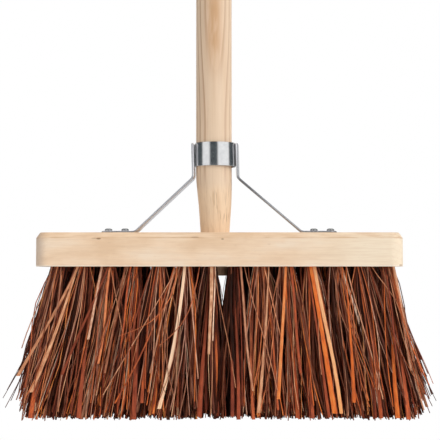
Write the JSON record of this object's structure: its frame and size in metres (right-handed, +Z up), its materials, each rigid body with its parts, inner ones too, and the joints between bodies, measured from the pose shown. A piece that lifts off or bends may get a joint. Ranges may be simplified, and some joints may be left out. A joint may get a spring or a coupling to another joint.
{
  "type": "wide floor broom",
  "caption": "Wide wooden floor broom: straight handle through a wooden stock, steel collar with two screwed stays, and stiff plant-fibre tufts in staggered rows.",
  "frame": {"origin": "on the floor under the middle of the stock, in the plane of the fibre tips", "axes": "+Z up along the handle, +X along the stock, -Y the front that the picture shows"},
  "size_m": [0.322, 0.0848, 1.311],
  "materials": {
    "handle_wood": "smooth turned softwood, raw",
    "stock_wood": "sanded hardwood, raw",
    "plated_steel": "bright zinc plating",
    "fibre": "stiff brown plant fibre"
  },
  "bodies": {
    "broom_head": {"handle": "handle_wood", "stock": "stock_wood", "collar": "plated_steel", "left_stay": "plated_steel", "right_stay": "plated_steel", "left_outer_screw": "plated_steel", "left_inner_screw": "plated_steel", "right_inner_screw": "plated_steel", "right_outer_screw": "plated_steel", "collar_screw": "plated_steel"},
    "front_row": {"tuft_front_01": "fibre", "tuft_front_02": "fibre", "tuft_front_03": "fibre", "tuft_front_04": "fibre", "tuft_front_05": "fibre", "tuft_front_06": "fibre", "tuft_front_07": "fibre", "tuft_front_08": "fibre", "tuft_front_09": "fibre", "tuft_front_10": "fibre", "tuft_front_11": "fibre", "tuft_front_12": "fibre", "tuft_front_13": "fibre", "tuft_front_14": "fibre"},
    "middle_row": {"tuft_middle_01": "fibre", "tuft_middle_02": "fibre", "tuft_middle_03": "fibre", "tuft_middle_04": "fibre", "tuft_middle_05": "fibre", "tuft_middle_06": "fibre", "tuft_middle_07": "fibre", "tuft_middle_08": "fibre", "tuft_middle_09": "fibre", "tuft_middle_10": "fibre", "tuft_middle_11": "fibre", "tuft_middle_12": "fibre"},
    "back_row": {"tuft_back_01": "fibre", "tuft_back_02": "fibre", "tuft_back_03": "fibre", "tuft_back_04": "fibre", "tuft_back_05": "fibre", "tuft_back_06": "fibre", "tuft_back_07": "fibre", "tuft_back_08": "fibre", "tuft_back_09": "fibre", "tuft_back_10": "fibre", "tuft_back_11": "fibre", "tuft_back_12": "fibre", "tuft_back_13": "fibre", "tuft_back_14": "fibre"}
  },
  "joints": [
    {"name": "front_row_flex", "type": "hinge", "parent": "broom_head", "child": "front_row", "pos_m": [0, -0.018, 0.118], "axis": [1, 0, 0], "range_deg": [-12, 12], "stiffness_Nm_per_rad": 6, "deforming": ["tuft_front_01", "tuft_front_02", "tuft_front_03", "tuft_front_04", "tuft_front_05", "tuft_front_06", "tuft_front_07", "tuft_front_08", "tuft_front_09", "tuft_front_10", "tuft_front_11", "tuft_front_12", "tuft_front_13", "tuft_front_14"]},
    {"name": "middle_row_flex", "type": "hinge", "parent": "broom_head", "child": "middle_row", "pos_m": [0, 0, 0.118], "axis": [1, 0, 0], "range_deg": [-12, 12], "stiffness_Nm_per_rad": 6, "deforming": ["tuft_middle_01", "tuft_middle_02", "tuft_middle_03", "tuft_middle_04", "tuft_middle_05", "tuft_middle_06", "tuft_middle_07", "tuft_middle_08", "tuft_middle_09", "tuft_middle_10", "tuft_middle_11", "tuft_middle_12"]},
    {"name": "back_row_flex", "type": "hinge", "parent": "broom_head", "child": "back_row", "pos_m": [0, 0.018, 0.118], "axis": [1, 0, 0], "range_deg": [-12, 12], "stiffness_Nm_per_rad": 6, "deforming": ["tuft_back_01", "tuft_back_02", "tuft_back_03", "tuft_back_04", "tuft_back_05", "tuft_back_06", "tuft_back_07", "tuft_back_08", "tuft_back_09", "tuft_back_10", "tuft_back_11", "tuft_back_12", "tuft_back_13", "tuft_back_14"]}
  ],
  "couplings": [
    {"joint": "middle_row_flex", "follows": "front_row_flex", "ratio": 1},
    {"joint": "back_row_flex", "follows": "front_row_flex", "ratio": 1}
  ]
}
